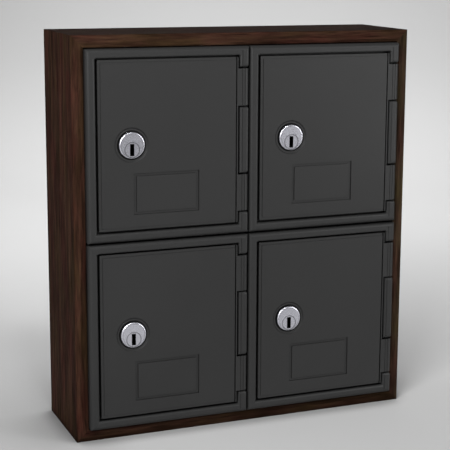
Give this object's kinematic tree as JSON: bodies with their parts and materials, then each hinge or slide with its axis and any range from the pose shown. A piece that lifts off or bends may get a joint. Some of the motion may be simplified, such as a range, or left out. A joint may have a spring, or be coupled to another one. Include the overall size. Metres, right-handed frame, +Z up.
{
  "type": "coin operated locker",
  "caption": "Wooden-cased block of small lockers, each with a moulded frame, a hinged flush door, a round key lock and an inside coin-return unit.",
  "frame": {"origin": "middle of the base, at floor level", "axes": "+Z up, -Y out of the doors towards the user, +X to the user's right, which is the doors' hinge side"},
  "size_m": [0.3212, 0.0996, 0.3592],
  "materials": {
    "walnut": "satin dark walnut",
    "charcoal_moulding": "matte charcoal",
    "black_liner": "matte black",
    "chrome_lock": "polished",
    "satin_steel": "satin",
    "zinc_steel": "zinc plated"
  },
  "bodies": {
    "cabinet": {"left_side_panel": "walnut", "right_side_panel": "walnut", "top_panel": "walnut", "bottom_panel": "walnut", "back_panel": "walnut", "hinge_pins": "satin_steel", "strike_plates": "zinc_steel", "fixing_screws": "zinc_steel", "joining_bolts": "zinc_steel", "back_panel_screws": "zinc_steel", "upper_left_frame": "charcoal_moulding", "upper_left_compartment": "black_liner", "upper_right_frame": "charcoal_moulding", "upper_right_compartment": "black_liner", "lower_left_frame": "charcoal_moulding", "lower_left_compartment": "black_liner", "lower_right_frame": "charcoal_moulding", "lower_right_compartment": "black_liner"},
    "upper_left_door": {"upper_left_door": "charcoal_moulding", "upper_left_lock_cylinder": "chrome_lock", "upper_left_lock_nut": "zinc_steel", "upper_left_coin_case": "black_liner", "upper_left_coin_bezel": "satin_steel", "upper_left_case_screws": "zinc_steel"},
    "upper_left_plug": {"upper_left_lock_plug": "chrome_lock", "upper_left_lock_tongue": "zinc_steel", "upper_left_tongue_screw": "zinc_steel"},
    "upper_left_flap": {"upper_left_return_flap": "satin_steel"},
    "upper_right_door": {"upper_right_door": "charcoal_moulding", "upper_right_lock_cylinder": "chrome_lock", "upper_right_lock_nut": "zinc_steel", "upper_right_coin_case": "black_liner", "upper_right_coin_bezel": "satin_steel", "upper_right_case_screws": "zinc_steel"},
    "upper_right_plug": {"upper_right_lock_plug": "chrome_lock", "upper_right_lock_tongue": "zinc_steel", "upper_right_tongue_screw": "zinc_steel"},
    "upper_right_flap": {"upper_right_return_flap": "satin_steel"},
    "lower_left_door": {"lower_left_door": "charcoal_moulding", "lower_left_lock_cylinder": "chrome_lock", "lower_left_lock_nut": "zinc_steel", "lower_left_coin_case": "black_liner", "lower_left_coin_bezel": "satin_steel", "lower_left_case_screws": "zinc_steel"},
    "lower_left_plug": {"lower_left_lock_plug": "chrome_lock", "lower_left_lock_tongue": "zinc_steel", "lower_left_tongue_screw": "zinc_steel"},
    "lower_left_flap": {"lower_left_return_flap": "satin_steel"},
    "lower_right_door": {"lower_right_door": "charcoal_moulding", "lower_right_lock_cylinder": "chrome_lock", "lower_right_lock_nut": "zinc_steel", "lower_right_coin_case": "black_liner", "lower_right_coin_bezel": "satin_steel", "lower_right_case_screws": "zinc_steel"},
    "lower_right_plug": {"lower_right_lock_plug": "chrome_lock", "lower_right_lock_tongue": "zinc_steel", "lower_right_tongue_screw": "zinc_steel"},
    "lower_right_flap": {"lower_right_return_flap": "satin_steel"}
  },
  "joints": [
    {"name": "upper_left_door_hinge", "type": "hinge", "parent": "cabinet", "child": "upper_left_door", "pos_m": [-0.004, -0.04455, 0.2641], "axis": [0, 0, 1], "range_deg": [0, 100]},
    {"name": "upper_left_key_turn", "type": "hinge", "parent": "upper_left_door", "child": "upper_left_plug", "pos_m": [-0.10975, -0.04975, 0.2608], "axis": [0, 1, 0], "range_deg": [0, 90]},
    {"name": "upper_left_coin_flap", "type": "hinge", "parent": "upper_left_door", "child": "upper_left_flap", "pos_m": [-0.067, -0.02795, 0.2692], "axis": [-1, 0, 0], "range_deg": [0, 30]},
    {"name": "upper_right_door_hinge", "type": "hinge", "parent": "cabinet", "child": "upper_right_door", "pos_m": [0.146, -0.04455, 0.2641], "axis": [0, 0, 1], "range_deg": [0, 100]},
    {"name": "upper_right_key_turn", "type": "hinge", "parent": "upper_right_door", "child": "upper_right_plug", "pos_m": [0.04025, -0.04975, 0.2608], "axis": [0, 1, 0], "range_deg": [0, 90]},
    {"name": "upper_right_coin_flap", "type": "hinge", "parent": "upper_right_door", "child": "upper_right_flap", "pos_m": [0.083, -0.02795, 0.2692], "axis": [-1, 0, 0], "range_deg": [0, 30]},
    {"name": "lower_left_door_hinge", "type": "hinge", "parent": "cabinet", "child": "lower_left_door", "pos_m": [-0.004, -0.04455, 0.0951], "axis": [0, 0, 1], "range_deg": [0, 100]},
    {"name": "lower_left_key_turn", "type": "hinge", "parent": "lower_left_door", "child": "lower_left_plug", "pos_m": [-0.10975, -0.04975, 0.0918], "axis": [0, 1, 0], "range_deg": [0, 90]},
    {"name": "lower_left_coin_flap", "type": "hinge", "parent": "lower_left_door", "child": "lower_left_flap", "pos_m": [-0.067, -0.02795, 0.1002], "axis": [-1, 0, 0], "range_deg": [0, 30]},
    {"name": "lower_right_door_hinge", "type": "hinge", "parent": "cabinet", "child": "lower_right_door", "pos_m": [0.146, -0.04455, 0.0951], "axis": [0, 0, 1], "range_deg": [0, 100]},
    {"name": "lower_right_key_turn", "type": "hinge", "parent": "lower_right_door", "child": "lower_right_plug", "pos_m": [0.04025, -0.04975, 0.0918], "axis": [0, 1, 0], "range_deg": [0, 90]},
    {"name": "lower_right_coin_flap", "type": "hinge", "parent": "lower_right_door", "child": "lower_right_flap", "pos_m": [0.083, -0.02795, 0.1002], "axis": [-1, 0, 0], "range_deg": [0, 30]}
  ]
}
